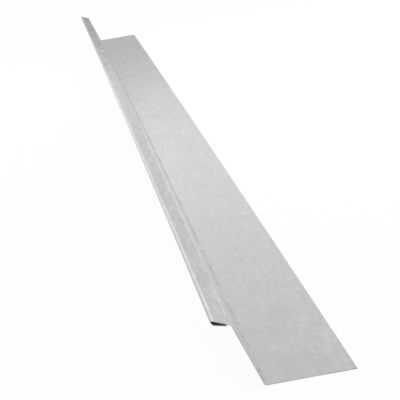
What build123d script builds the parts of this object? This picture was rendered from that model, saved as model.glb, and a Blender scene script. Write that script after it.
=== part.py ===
from build123d import *
import math
import os

# Roof drip edge flashing, one strip of galvanised sheet steel folded along its whole length.
# It lies on a floor the other way up from how it hangs on a roof. The flange is flat on the
# floor. The face rises from the crease and leans away from the flange. The kick turns outwards
# at the top of the face, and its edge is folded back under it as an open hem.
# X runs across the strip, with the flange towards +X. Y runs along it, and Z is up.

# Driving sizes, in millimetres and degrees
stock_length = 3048.0
sheet_thickness = 0.55
flange_width = 76.2
face_length = 57.15
face_lean = 19.5
crease_radius = 2.2
knee_radius = 1.5
kick_length = 17.2
kick_rise = 23.0
hem_shoulder_radius = 2.6
hem_shoulder_turn = 32.0
hem_land_length = 0.3
hem_nose_radius = 0.2
hem_flank_length = 2.5
hem_flank_angle = 36.0
hem_belly_radius = 1.4
hem_tip_gap = 0.7
hem_tip_setback = 3.4

# How far the sheet turns at the crease, and at the knee between the face and the kick
crease_turn = 90.0 - face_lean
knee_turn = 90.0 - face_lean - kick_rise


def setback(radius, turn):
    # How much of a flat side a fold of this radius takes up, measured from the sharp corner
    return radius * math.tan(math.radians(turn / 2))


# Flat runs between the folds. The flange and the face are measured to the sharp corners of the
# side that faces down at the flange, and the kick from the knee's corner to the far side of its
# nose.
crease_setback = setback(crease_radius + sheet_thickness, crease_turn)
knee_setback = setback(knee_radius, knee_turn)
flange_run = flange_width - crease_setback
face_run = face_length - crease_setback - knee_setback

# The hem rounds over at its shoulder and turns tightly at the nose after a very short land. It
# spreads away from the kick along a short flank, and turns at its belly into the return leg,
# which closes towards the kick and stops short of the knee.
over = math.radians(hem_shoulder_turn)
spread = math.radians(hem_flank_angle)
shoulder_reach = hem_shoulder_radius * math.sin(over) + hem_land_length * math.cos(over)
nose_reach = shoulder_reach + hem_nose_radius * (1 - math.sin(over))
kick_run = kick_length - knee_setback - nose_reach - sheet_thickness
return_run = kick_run + nose_reach - hem_flank_length * math.cos(spread) - hem_tip_setback

# The angle at which a leg of this run, turned round the belly, ends at the tip's gap
shoulder_drop = hem_shoulder_radius * (1 - math.cos(over)) + hem_land_length * math.sin(over)
nose_gap = hem_nose_radius * (math.cos(over) + math.cos(spread))
flank_end_gap = shoulder_drop + nose_gap + hem_flank_length * math.sin(spread)
drop_to_tip = hem_tip_gap - flank_end_gap + hem_belly_radius * math.cos(spread)
leg_reach = math.hypot(return_run, hem_belly_radius)
leg_start = math.atan2(return_run, hem_belly_radius)
leg_closing = math.degrees(math.acos(drop_to_tip / leg_reach) - leg_start)

# Each fold with the flat run that leads to it: the run, the turn and the inside radius.
# Turns are to the left, seen along the sheet from the flange's edge, so the crease is negative.
folds = [
    (flange_run, -crease_turn, crease_radius),
    (face_run, knee_turn, knee_radius),
    (kick_run, hem_shoulder_turn, hem_shoulder_radius),
    (hem_land_length, 180.0 - hem_shoulder_turn - hem_flank_angle, hem_nose_radius),
    (hem_flank_length, hem_flank_angle + leg_closing, hem_belly_radius),
]


def sheet_side(depth):
    # One side of the folded sheet, at a depth from the side that faces down at the flange.
    # It starts at the flange's edge and ends at the tip of the return leg.
    here = Vector(flange_width, depth)
    heading = 180.0
    edges = []
    for run, turn, inside_radius in folds:
        to_inside = depth if turn > 0 else sheet_thickness - depth
        flat = PolarLine(here, run, heading)
        fold = JernArc(flat @ 1, flat % 1, inside_radius + to_inside, turn)
        edges += [flat, fold]
        here = fold @ 1
        heading += turn
    edges.append(PolarLine(here, return_run, heading))
    return edges


with BuildSketch(Plane.XZ) as section:
    with BuildLine():
        lower = sheet_side(0.0)
        upper = sheet_side(sheet_thickness)
        slit_edge = Line(lower[0] @ 0, upper[0] @ 0)
        hem_tip = Line(lower[-1] @ 1, upper[-1] @ 1)
    make_face()

strip = extrude(section.sketch, amount=stock_length / 2, both=True)

# The origin is on the floor, under the middle of the strip's outline
outline = strip.bounding_box()
drip_edge = Pos(-outline.center().X, -outline.center().Y, -outline.min.Z) * strip

os.makedirs("parts", exist_ok=True)
export_step(drip_edge, "parts/drip_edge.step")

print("return leg", round(return_run, 2), "closing by", round(leg_closing, 2), "degrees")
print("section", round(outline.size.X, 3), "wide", round(outline.size.Z, 3), "high")
print("nose at", round(outline.min.X, 4), "from the crease's corner")
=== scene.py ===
import bpy
import math
from mathutils import Euler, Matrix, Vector


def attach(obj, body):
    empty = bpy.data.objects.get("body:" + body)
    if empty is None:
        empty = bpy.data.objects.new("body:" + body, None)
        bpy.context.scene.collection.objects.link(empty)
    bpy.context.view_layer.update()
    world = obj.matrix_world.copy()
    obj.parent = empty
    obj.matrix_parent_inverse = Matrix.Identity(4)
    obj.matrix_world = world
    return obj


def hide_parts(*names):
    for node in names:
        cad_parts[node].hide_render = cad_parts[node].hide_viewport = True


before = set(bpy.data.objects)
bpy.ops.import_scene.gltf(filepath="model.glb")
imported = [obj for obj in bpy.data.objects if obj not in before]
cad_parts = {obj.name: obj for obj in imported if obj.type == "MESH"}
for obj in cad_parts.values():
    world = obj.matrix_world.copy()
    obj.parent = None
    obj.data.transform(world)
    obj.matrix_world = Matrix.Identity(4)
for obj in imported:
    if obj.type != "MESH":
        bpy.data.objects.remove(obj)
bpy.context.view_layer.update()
print("packed frame loaded")

mm = 0.001


def toLinear(hexColour):
    # an sRGB hex colour as the linear values that Blender's sockets take
    channels = [int(hexColour[i:i + 2], 16) / 255 for i in (1, 3, 5)]
    linear = [c / 12.92 if c <= 0.04045 else ((c + 0.055) / 1.055) ** 2.4 for c in channels]
    return (*linear, 1.0)


def addNode(tree, kind, settings=None, links=None):
    # settings are node properties or socket values, links are sockets fed by another node's output
    node = tree.nodes.new(kind)
    for name, value in (settings or {}).items():
        if isinstance(name, str) and hasattr(node, name):
            setattr(node, name, value)
        else:
            node.inputs[name].default_value = value
    for name, output in (links or {}).items():
        tree.links.new(output, node.inputs[name])
    return node


def newMaterial(name):
    material = bpy.data.materials.new(name)
    material.use_nodes = True
    material.node_tree.nodes.clear()
    return material, material.node_tree


# Skin-passed hot-dip galvanised steel. The zinc's spangle is kept small and then rolled flat
# between matt rolls, so the eye gets an even satin grey, with a faint cloudiness and hardly any
# grain. Light and shade are painted into the tone as well, where the lamps don't give them:
# painted shade in the crease, at the knee and on the face and kick towards the ends, a painted
# highlight along the hem's shoulder with painted shade just below it, and paler tones on the
# flange's edge and in the crease.
galvanised = {
    "colour": "#BEBEC0",
    "paleGrain": "#C7C7C9",
    "darkGrain": "#B5B5B7",
    "paintedHighlight": "#DEDEE0",
    "paintedShade": "#8C8C8E",
    # where the dark, middle and pale colours stand between the painted shade (0) and the painted
    # highlight (1)
    "tonePlaces": (0.3, 0.5, 0.7),
    "roughness": (0.36, 0.44),  # of the dark grain and of the pale grain
    # across and along the strip: real grains are about 1 mm, drawn coarser so that they show
    "grain": (3.0 * mm, 11.0 * mm),
    "rollMark": (4.0 * mm, 60.0 * mm),  # marks of the matt rolls, far finer on the real sheet
    "rollMarkDetail": 2.0,
    "cloud": 60.0 * mm,         # patches of slightly thicker zinc
    "cloudDetail": 3.0,
    "cloudBreakup": 0.55,
    "shares": (0.28, 0.44, 0.28),       # how far the grain, the roll marks and the clouds show
    "grainHeight": 0.004 * mm,
    "grainRelief": 0.3,         # how strongly that height tilts the surface
    "sheetWidth": 170.0 * mm,   # the painted light and shade below is placed along this much of the unfolded sheet
    # Painted light and shade, layer by layer. Along the strip a layer is full at the first place
    # and gone at the second, in metres from its middle. Across the unfolded sheet it gives places
    # in millimetres from the flange's edge, and how much darker (under 0.5) or paler (over 0.5)
    # the tone is painted there. The layers stand in for how the light falls on the strip, which
    # the lamps don't give in full.
    "unpainted": 0.5,
    "paintedLight": {
        # painted highlight along the hem's shoulder with painted shade just below it, and a paler
        # flange edge, face and kick, strongest at the near end and gone towards the far end
        "nearEndPaintedLight": ((-1.5, 1.2),
                      ((2.0, 0.62), (14.0, 0.60), (30.0, 0.55), (50.0, 0.50), (77.0, 0.50),
                       (95.0, 0.54), (146.0, 0.54), (147.3, 1.00), (148.4, 1.00), (149.2, 0.42),
                       (150.4, 0.42), (151.0, 0.50))),
        # painted shade in the crease between flange and face, over the near half of the strip
        "creasePaintedShade": ((-1.5, -0.2),
                       ((73.6, 0.50), (75.0, 0.10), (76.8, 0.10), (78.2, 0.26), (82.0, 0.38),
                        (95.0, 0.50))),
        # painted shade on the face, the knee and the kick at the near end
        "nearEndPaintedShade": ((-1.4, -0.85),
                        ((79.0, 0.50), (84.0, 0.36), (128.5, 0.36), (131.2, 0.22), (132.4, 0.25),
                         (133.8, 0.33), (145.5, 0.33), (146.8, 0.50))),
        # painted shade on the face and the kick over the far half
        "farEndPaintedShade": ((0.7, -0.1),
                       ((77.0, 0.50), (79.0, 0.40), (131.0, 0.40), (134.0, 0.22), (146.0, 0.22),
                        (147.5, 0.50))),
        # painted highlight in the crease towards the far end
        "creasePaintedHighlight": ((1.1, 0.6),
                       ((73.5, 0.50), (75.2, 0.70), (76.6, 0.70), (78.5, 0.50))),
    },
    "hemInside": (150.4 * mm, 151.6 * mm),  # from here on the leg lies inside the hem
    "hemFilm": 0.15,            # how metallic the leg looks under its film of roll oil and dust
}


def makeGalvanised(look):
    material, tree = newMaterial("skinPassedGalvanisedSteel")
    # the map holds the sheet as it was before folding, in metres
    flatSheet = addNode(tree, "ShaderNodeUVMap", {"uv_map": "flatSheet"})
    across = addNode(tree, "ShaderNodeSeparateXYZ", {}, {"Vector": flatSheet.outputs["UV"]})
    grainPlace = addNode(tree, "ShaderNodeMapping",
                         {"Scale": (1 / look["grain"][0], 1 / look["grain"][1], 1.0)},
                         {"Vector": flatSheet.outputs["UV"]})
    grain = addNode(tree, "ShaderNodeTexVoronoi",
                    {"voronoi_dimensions": "2D", "feature": "F1", "Scale": 1.0},
                    {"Vector": grainPlace.outputs["Vector"]})
    oneGrain = addNode(tree, "ShaderNodeSeparateColor", {}, {"Color": grain.outputs["Color"]})
    markPlace = addNode(tree, "ShaderNodeMapping",
                        {"Scale": (1 / look["rollMark"][0], 1 / look["rollMark"][1], 1.0)},
                        {"Vector": flatSheet.outputs["UV"]})
    rollMark = addNode(tree, "ShaderNodeTexNoise",
                       {"noise_dimensions": "2D", "Scale": 1.0, "Detail": look["rollMarkDetail"]},
                       {"Vector": markPlace.outputs["Vector"]})
    cloud = addNode(tree, "ShaderNodeTexNoise",
                    {"noise_dimensions": "2D", "Scale": 1 / look["cloud"],
                     "Detail": look["cloudDetail"], "Roughness": look["cloudBreakup"]},
                    {"Vector": flatSheet.outputs["UV"]})
    # grain, roll marks and clouds together, each as far as it shows
    grainShare, markShare, cloudShare = look["shares"]
    grains = addNode(tree, "ShaderNodeMath", {"operation": "MULTIPLY", 1: grainShare},
                     {0: oneGrain.outputs["Red"]})
    grainsAndMarks = addNode(tree, "ShaderNodeMath", {"operation": "MULTIPLY_ADD", 1: markShare},
                             {0: rollMark.outputs["Fac"], 2: grains.outputs["Value"]})
    allShares = addNode(tree, "ShaderNodeMath", {"operation": "MULTIPLY_ADD", 1: cloudShare},
                        {0: cloud.outputs["Fac"], 2: grainsAndMarks.outputs["Value"]})
    # each layer of painted light and shade moves the tone towards the painted shade or the painted
    # highlight colour
    unpainted = look["unpainted"]
    acrossShare = addNode(tree, "ShaderNodeMath", {"operation": "DIVIDE", 1: look["sheetWidth"]},
                          {0: across.outputs["X"]})
    toned = allShares
    for (full, gone), stops in look["paintedLight"].values():
        paintedLight = addNode(tree, "ShaderNodeValToRGB", {}, {"Fac": acrossShare.outputs["Value"]})
        paintStops = paintedLight.color_ramp.elements
        paintStops[0].color = paintStops[1].color = (unpainted, unpainted, unpainted, 1.0)
        for place, level in stops:
            paintStops.new(place * mm / look["sheetWidth"]).color = (level, level, level, 1.0)
        fromUnpainted = addNode(tree, "ShaderNodeMath", {"operation": "SUBTRACT", 1: unpainted},
                             {0: paintedLight.outputs["Color"]})
        left = addNode(tree, "ShaderNodeMapRange",
                       {"From Min": full, "From Max": gone, "To Min": 1.0, "To Max": 0.0},
                       {"Value": across.outputs["Y"]})
        toned = addNode(tree, "ShaderNodeMath", {"operation": "MULTIPLY_ADD"},
                        {0: fromUnpainted.outputs["Value"], 1: left.outputs["Result"],
                         2: toned.outputs["Value"]})
    tone = addNode(tree, "ShaderNodeValToRGB", {}, {"Fac": toned.outputs["Value"]})
    toneStops = tone.color_ramp.elements
    # the ramp's two ends are the painted shade and the painted highlight colours
    toneStops[0].color, toneStops[1].color = toLinear(look["paintedShade"]), toLinear(look["paintedHighlight"])
    for place, name in zip(look["tonePlaces"], ("darkGrain", "colour", "paleGrain")):
        toneStops.new(place).color = toLinear(look[name])
    darkPlace, _, palePlace = look["tonePlaces"]
    smooth, rough = look["roughness"]
    satin = addNode(tree, "ShaderNodeMapRange",
                    {"From Min": darkPlace, "From Max": palePlace,
                     "To Min": smooth, "To Max": rough},
                    {"Value": allShares.outputs["Value"]})
    hemStart, hemFull = look["hemInside"]
    film = addNode(tree, "ShaderNodeMapRange",
                   {"From Min": hemStart, "From Max": hemFull,
                    "To Min": 1.0, "To Max": look["hemFilm"]},
                   {"Value": across.outputs["X"]})
    relief = addNode(tree, "ShaderNodeBump",
                     {"Strength": look["grainRelief"], "Distance": look["grainHeight"]},
                     {"Height": allShares.outputs["Value"]})
    surface = addNode(tree, "ShaderNodeBsdfPrincipled", {},
                      {"Base Color": tone.outputs["Color"], "Metallic": film.outputs["Result"],
                       "Roughness": satin.outputs["Result"], "Normal": relief.outputs["Normal"]})
    addNode(tree, "ShaderNodeOutputMaterial", {}, {"Surface": surface.outputs["BSDF"]})
    return material


# Sheared steel edge. The blade smears a little zinc over bare steel, so the eye gets a slightly
# duller line than the sheet's sides. Towards the flange's edge, which lies on the floor, the cut
# edge is painted darker: a painted contact shadow.
shearedEdge = {
    "zincSmeared": "#B0B1B4",
    # painted contact shadow colour of the cut edge near the floor
    "contactShadow": "#74777C",
    "contactShadowUntil": (16.0 * mm, 34.0 * mm),    # it changes between these, from the flange's edge
    "roughness": 0.50,
}


def makeShearedEdge(look):
    material, tree = newMaterial("shearedSteelEdge")
    flatSheet = addNode(tree, "ShaderNodeUVMap", {"uv_map": "flatSheet"})
    across = addNode(tree, "ShaderNodeSeparateXYZ", {}, {"Vector": flatSheet.outputs["UV"]})
    # the painted contact shadow fades out between these places, counted from the flange's edge
    shadowEnd, unshadowedFrom = look["contactShadowUntil"]
    outOfShadow = addNode(tree, "ShaderNodeMapRange", {"From Min": shadowEnd, "From Max": unshadowedFrom},
                      {"Value": across.outputs["X"]})
    tone = addNode(tree, "ShaderNodeValToRGB", {}, {"Fac": outOfShadow.outputs["Result"]})
    tone.color_ramp.elements[0].color = toLinear(look["contactShadow"])
    tone.color_ramp.elements[1].color = toLinear(look["zincSmeared"])
    surface = addNode(tree, "ShaderNodeBsdfPrincipled",
                      {"Metallic": 1.0, "Roughness": look["roughness"]},
                      {"Base Color": tone.outputs["Color"]})
    addNode(tree, "ShaderNodeOutputMaterial", {}, {"Surface": surface.outputs["BSDF"]})
    return material


# The strip, in millimetres and degrees. X runs across it, with the flange towards +X, and Y
# along it. It lies on its flange, the other way up from how it hangs on a roof.
strip = {
    "length": 3048.0,
    "thickness": 0.55,
    "flange": 76.2,
    "face": 57.15,
    "faceLean": 19.5,
    "creaseRadius": 2.2,
    "kneeRadius": 1.5,
    "kick": 17.2,
    "kickRise": 23.0,
    "shoulderRadius": 2.6,
    "shoulderTurn": 32.0,
    "hemLand": 0.3,
    "noseRadius": 0.2,
    "hemFlank": 2.5,
    "hemFlankAngle": 36.0,
    "bellyRadius": 1.4,
    "tipGap": 0.7,
    "tipSetback": 3.4,
    "camber": 1.4,              # how far the long strip bows sideways between its ends
    "edgeRound": 0.09,          # the blade rolls the corners of a cut edge over
    "edgeSegments": 2,
    "edgeSharperThan": 50.0,    # only corners that turn more than this are rolled over
    "foldStep": 6.0,            # degrees of a fold between two columns of points
    "fewestSteps": 3,           # at least this many steps in every fold
    "flatStep": 14.0,           # about how far apart the columns of a flat run are
    "foldGuard": 0.4,           # a column this close to each fold keeps a flat run flat to the eye
    "rowsAlong": 120,
}


def foldsOf(s):
    # each fold as the flat run that leads to it, its turn and its inside radius, as in the solid
    def setback(radius, turn):
        return radius * math.tan(math.radians(turn / 2))

    creaseTurn = 90 - s["faceLean"]
    kneeTurn = creaseTurn - s["kickRise"]
    creaseSetback = setback(s["creaseRadius"] + s["thickness"], creaseTurn)
    kneeSetback = setback(s["kneeRadius"], kneeTurn)
    over = math.radians(s["shoulderTurn"])
    spread = math.radians(s["hemFlankAngle"])
    shoulderReach = s["shoulderRadius"] * math.sin(over) + s["hemLand"] * math.cos(over)
    noseReach = shoulderReach + s["noseRadius"] * (1 - math.sin(over))
    kickRun = s["kick"] - kneeSetback - noseReach - s["thickness"]
    returnRun = kickRun + noseReach - s["hemFlank"] * math.cos(spread) - s["tipSetback"]
    shoulderDrop = s["shoulderRadius"] * (1 - math.cos(over)) + s["hemLand"] * math.sin(over)
    noseGap = s["noseRadius"] * (math.cos(over) + math.cos(spread))
    flankEndGap = shoulderDrop + noseGap + s["hemFlank"] * math.sin(spread)
    dropToTip = s["tipGap"] - flankEndGap + s["bellyRadius"] * math.cos(spread)
    closing = math.degrees(math.acos(dropToTip / math.hypot(returnRun, s["bellyRadius"]))
                           - math.atan2(returnRun, s["bellyRadius"]))
    return [
        (s["flange"] - creaseSetback, -creaseTurn, s["creaseRadius"]),
        (s["face"] - creaseSetback - kneeSetback, kneeTurn, s["kneeRadius"]),
        (kickRun, s["shoulderTurn"], s["shoulderRadius"]),
        (s["hemLand"], 180 - s["shoulderTurn"] - s["hemFlankAngle"], s["noseRadius"]),
        (s["hemFlank"], s["hemFlankAngle"] + closing, s["bellyRadius"]),
        (returnRun, 0.0, 0.0),
    ]


def sectionColumns(s):
    # Columns of points from the flange's edge to the hem's tip. Each one is the point on the
    # side that lies on the floor, the point across the sheet from it, and how far along the
    # unfolded sheet they are.
    here = Vector((s["flange"], 0.0))
    heading = 180.0
    travelled = 0.0
    columns = []

    def addColumn(place, direction):
        across = Vector((math.sin(math.radians(direction)), -math.cos(math.radians(direction))))
        columns.append((place.copy(), place + across * s["thickness"], travelled))

    addColumn(here, heading)
    for run, turn, insideRadius in foldsOf(s):
        forward = Vector((math.cos(math.radians(heading)), math.sin(math.radians(heading))))
        guard = min(s["foldGuard"], run / 4)
        spans = max(1, round(run / s["flatStep"]))
        passed = 0.0
        for stop in [guard] + [run * i / spans for i in range(1, spans)] + [run - guard, run]:
            travelled += stop - passed
            passed = stop
            addColumn(here + forward * stop, heading)
        here = here + forward * run
        if not turn:
            break
        radius = insideRadius + (0.0 if turn > 0 else s["thickness"])
        side = 90 if turn > 0 else -90
        inward = math.radians(heading + side)
        centre = here + Vector((math.cos(inward), math.sin(inward))) * radius
        steps = max(s["fewestSteps"], math.ceil(abs(turn) / s["foldStep"]))
        middleRadius = insideRadius + s["thickness"] / 2
        for i in range(1, steps + 1):
            direction = heading + turn * i / steps
            out = math.radians(direction - side)
            travelled += math.radians(abs(turn)) * middleRadius / steps
            addColumn(centre + Vector((math.cos(out), math.sin(out))) * radius, direction)
        here = columns[-1][0].copy()
        heading += turn
    return columns


def makeStrip(s):
    columns = sectionColumns(s)
    # the origin is on the floor under the middle of the strip's outline
    sides = [p for low, high, _ in columns for p in (low, high)]
    middle = (min(p.x for p in sides) + max(p.x for p in sides)) / 2
    count = len(columns)
    half = s["length"] / 2
    rows = [-half + s["length"] * i / s["rowsAlong"] for i in range(s["rowsAlong"] + 1)]
    points, flat = [], []
    for y in rows:
        bow = s["camber"] * (1 - (y / half) ** 2)
        for pick in (0, 1):
            for column in columns:
                place = column[pick]
                points.append(((place.x - middle + bow) * mm, y * mm, place.y * mm))
                flat.append((column[2] * mm, y * mm))
    faces, isCut = [], []
    for r in range(s["rowsAlong"]):
        a, b = r * 2 * count, (r + 1) * 2 * count
        for c in range(count - 1):
            faces.append((a + c, a + c + 1, b + c + 1, b + c))
            faces.append((a + count + c, b + count + c, b + count + c + 1, a + count + c + 1))
            isCut += [0, 0]
        # the slit edge of the flange and the tip of the hem
        faces.append((a, b, b + count, a + count))
        faces.append((a + count - 1, a + 2 * count - 1, b + 2 * count - 1, b + count - 1))
        isCut += [1, 1]
    far = s["rowsAlong"] * 2 * count
    for c in range(count - 1):
        faces.append((c, c + count, c + count + 1, c + 1))
        faces.append((far + c, far + c + 1, far + c + count + 1, far + c + count))
        isCut += [1, 1]
    mesh = bpy.data.meshes.new("dripEdge")
    mesh.from_pydata(points, [], faces)
    layer = mesh.uv_layers.new(name="flatSheet")
    for loop in mesh.loops:
        layer.data[loop.index].uv = flat[loop.vertex_index]
    for polygon, cut in zip(mesh.polygons, isCut):
        polygon.material_index = cut
        polygon.use_smooth = True
    mesh.validate()
    piece = bpy.data.objects.new("dripEdge", mesh)
    bpy.context.collection.objects.link(piece)
    piece.data.materials.append(makeGalvanised(galvanised))
    piece.data.materials.append(makeShearedEdge(shearedEdge))
    # the cut edges' corners are rolled over a little, and everything else stays as folded
    rolled = piece.modifiers.new("rolledOver", "BEVEL")
    rolled.width = s["edgeRound"] * mm
    rolled.segments = s["edgeSegments"]
    rolled.limit_method = "ANGLE"
    rolled.angle_limit = math.radians(s["edgeSharperThan"])
    rolled.harden_normals = True
    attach(piece, "root")
    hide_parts("drip_edge")
    return piece


makeStrip(strip)
print("drip edge folded")

# A plain studio: a pale floor, an even pale room and soft lamps
studio = {
    "floorColour": "#F1F1F0",
    "floorSize": 80.0,
    "floorDrop": 0.1 * mm,      # keeps the floor just clear of the sheet that lies on it
    "floorWhiteness": 0.95,     # how far the floor is plain white to the camera and in reflections
    "roomColour": "#FFFFFF",
    "roomStrength": 0.81,
    "panelDrop": 0.80,          # how much a darker panel, far off on the right, takes from that
    "panelX": (-0.02, 0.16),    # the panel fades in and out along X, Y and Z of a unit direction
    "panelY": (0.80, 0.95),
    "panelTop": 0.25,
}


def makeFloor(s):
    bpy.ops.mesh.primitive_plane_add(size=s["floorSize"], location=(0.0, 0.0, -s["floorDrop"]))
    floor = bpy.context.active_object
    floor.name = "floor"
    material, tree = newMaterial("palePaper")
    paper = addNode(tree, "ShaderNodeBsdfDiffuse", {"Color": toLinear(s["floorColour"])})
    white = addNode(tree, "ShaderNodeEmission", {"Color": (1.0, 1.0, 1.0, 1.0), "Strength": 1.0})
    ray = addNode(tree, "ShaderNodeLightPath")
    seen = addNode(tree, "ShaderNodeMath", {"operation": "MAXIMUM"},
                   {0: ray.outputs["Is Camera Ray"], 1: ray.outputs["Is Glossy Ray"]})
    seenAll = addNode(tree, "ShaderNodeMath", {"operation": "MAXIMUM"},
                      {0: seen.outputs["Value"], 1: ray.outputs["Is Transmission Ray"]})
    share = addNode(tree, "ShaderNodeMath", {"operation": "MULTIPLY", 1: s["floorWhiteness"]},
                    {0: seenAll.outputs["Value"]})
    both = addNode(tree, "ShaderNodeMixShader", {},
                   {0: share.outputs["Value"], 1: paper.outputs["BSDF"],
                    2: white.outputs["Emission"]})
    addNode(tree, "ShaderNodeOutputMaterial", {}, {"Surface": both.outputs["Shader"]})
    floor.data.materials.append(material)


def makeRoom(s):
    world = bpy.data.worlds.new("paleRoom")
    world.use_nodes = True
    tree = world.node_tree
    tree.nodes.clear()
    direction = addNode(tree, "ShaderNodeTexCoord")
    axes = addNode(tree, "ShaderNodeSeparateXYZ", {}, {"Vector": direction.outputs["Generated"]})
    across = addNode(tree, "ShaderNodeMapRange",
                     {"From Min": s["panelX"][0], "From Max": s["panelX"][1]},
                     {"Value": axes.outputs["X"]})
    ahead = addNode(tree, "ShaderNodeMapRange",
                    {"From Min": s["panelY"][0], "From Max": s["panelY"][1]},
                    {"Value": axes.outputs["Y"]})
    below = addNode(tree, "ShaderNodeMapRange",
                    {"From Min": 0.0, "From Max": s["panelTop"],
                     "To Min": s["panelDrop"], "To Max": 0.0},
                    {"Value": axes.outputs["Z"]})
    corner = addNode(tree, "ShaderNodeMath", {"operation": "MULTIPLY"},
                     {0: across.outputs["Result"], 1: ahead.outputs["Result"]})
    panel = addNode(tree, "ShaderNodeMath", {"operation": "MULTIPLY"},
                    {0: corner.outputs["Value"], 1: below.outputs["Result"]})
    level = addNode(tree, "ShaderNodeMath", {"operation": "SUBTRACT", 0: s["roomStrength"]},
                    {1: panel.outputs["Value"]})
    light = addNode(tree, "ShaderNodeBackground", {"Color": toLinear(s["roomColour"])},
                    {"Strength": level.outputs["Value"]})
    # seen directly, the room is plain white
    white = addNode(tree, "ShaderNodeBackground", {"Color": (1.0, 1.0, 1.0, 1.0), "Strength": 1.0})
    ray = addNode(tree, "ShaderNodeLightPath")
    both = addNode(tree, "ShaderNodeMixShader", {},
                   {0: ray.outputs["Is Camera Ray"], 1: light.outputs["Background"],
                    2: white.outputs["Background"]})
    addNode(tree, "ShaderNodeOutputWorld", {}, {"Surface": both.outputs["Shader"]})
    bpy.context.scene.world = world


# Each lamp: its place, what it is aimed at, its width and height in metres, its watts and colour
lamps = {
    "farSoftbox": ((0.10, 1.20, 0.60), (0.0, 0.90, 0.0), (0.50, 0.40), 0.70, "#FFFFFF"),
    "overheadSoftbox": ((-0.15, 0.60, 0.45), (0.0, 0.50, 0.0), (0.35, 0.35), 0.60, "#FFFFFF"),
    "sideSoftbox": ((0.90, -0.10, 0.65), (0.0, -0.10, 0.03), (1.5, 0.9), 6.4, "#FFFFFF"),
    "lowSoftbox": ((0.80, 0.50, 0.40), (0.0, 0.50, 0.03), (1.2, 0.5), 1.4, "#FFFFFF"),
    "backSoftbox": ((0.80, 1.20, 0.60), (0.0, 0.70, 0.03), (1.2, 0.8), 0.95, "#FFFFFF"),
}


def makeLamp(name, place, target, size, watts, colour):
    light = bpy.data.lights.new(name, "AREA")
    light.shape = "RECTANGLE"
    light.size, light.size_y = size
    light.energy = watts
    light.color = toLinear(colour)[:3]
    lamp = bpy.data.objects.new(name, light)
    bpy.context.collection.objects.link(lamp)
    lamp.location = place
    lamp.rotation_euler = (Vector(target) - Vector(place)).to_track_quat("-Z", "Y").to_euler()


makeFloor(studio)
makeRoom(studio)
for lampName, lampValues in lamps.items():
    makeLamp(lampName, *lampValues)
print("studio lit")

# The camera stands beyond the near end, low over the strip, with a long lens. Its place is in
# metres, its turn in degrees, and its lens and sensor in millimetres.
view = {
    "place": (-0.14567, -3.11866, 0.45139),
    "turn": (79.4817, 9.3795, -5.2633),
    "lens": 185.221,
    "sensorWidth": 36.0,
    "clip": (0.05, 200.0),
}


def makeCamera(s):
    data = bpy.data.cameras.new("camera")
    data.lens = s["lens"]
    data.sensor_width = s["sensorWidth"]
    data.clip_start, data.clip_end = s["clip"]
    camera = bpy.data.objects.new("camera", data)
    bpy.context.collection.objects.link(camera)
    camera.location = s["place"]
    camera.rotation_euler = Euler([math.radians(a) for a in s["turn"]], "XYZ")
    bpy.context.scene.camera = camera


makeCamera(view)
bpy.context.scene.view_settings.view_transform = "Standard"
print("camera set")
